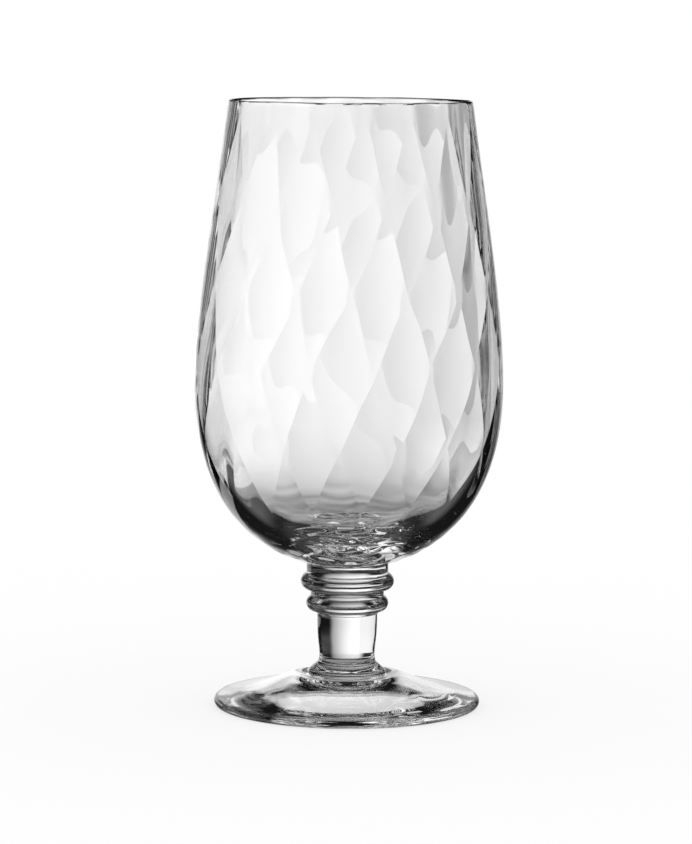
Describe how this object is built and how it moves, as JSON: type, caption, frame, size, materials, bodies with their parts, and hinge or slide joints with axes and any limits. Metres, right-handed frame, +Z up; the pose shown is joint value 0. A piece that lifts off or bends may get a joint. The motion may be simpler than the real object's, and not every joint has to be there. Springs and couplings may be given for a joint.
{
  "type": "footed beverage glass",
  "caption": "Clear footed beverage glass: tall blown bowl with a diamond optic inside, ring knops, a short stem and a round foot.",
  "frame": {"origin": "middle of the foot's underside, on the surface the glass stands on", "axes": "+Z up along the glass's axis, towards the rim; -Y faces the camera of the picture"},
  "size_m": [0.0864, 0.0864, 0.1701],
  "materials": {
    "foot_glass": "clear, fire-polished",
    "base_collar_glass": "clear, fire-polished",
    "stem_glass": "clear, fire-polished",
    "lower_ring_glass": "clear, fire-polished",
    "upper_ring_glass": "clear, fire-polished",
    "bowl_glass": "clear, fire-polished"
  },
  "bodies": {
    "root": {"foot": "foot_glass", "base_collar": "base_collar_glass", "stem": "stem_glass", "lower_ring": "lower_ring_glass", "upper_ring": "upper_ring_glass", "bowl": "bowl_glass"}
  },
  "joints": []
}
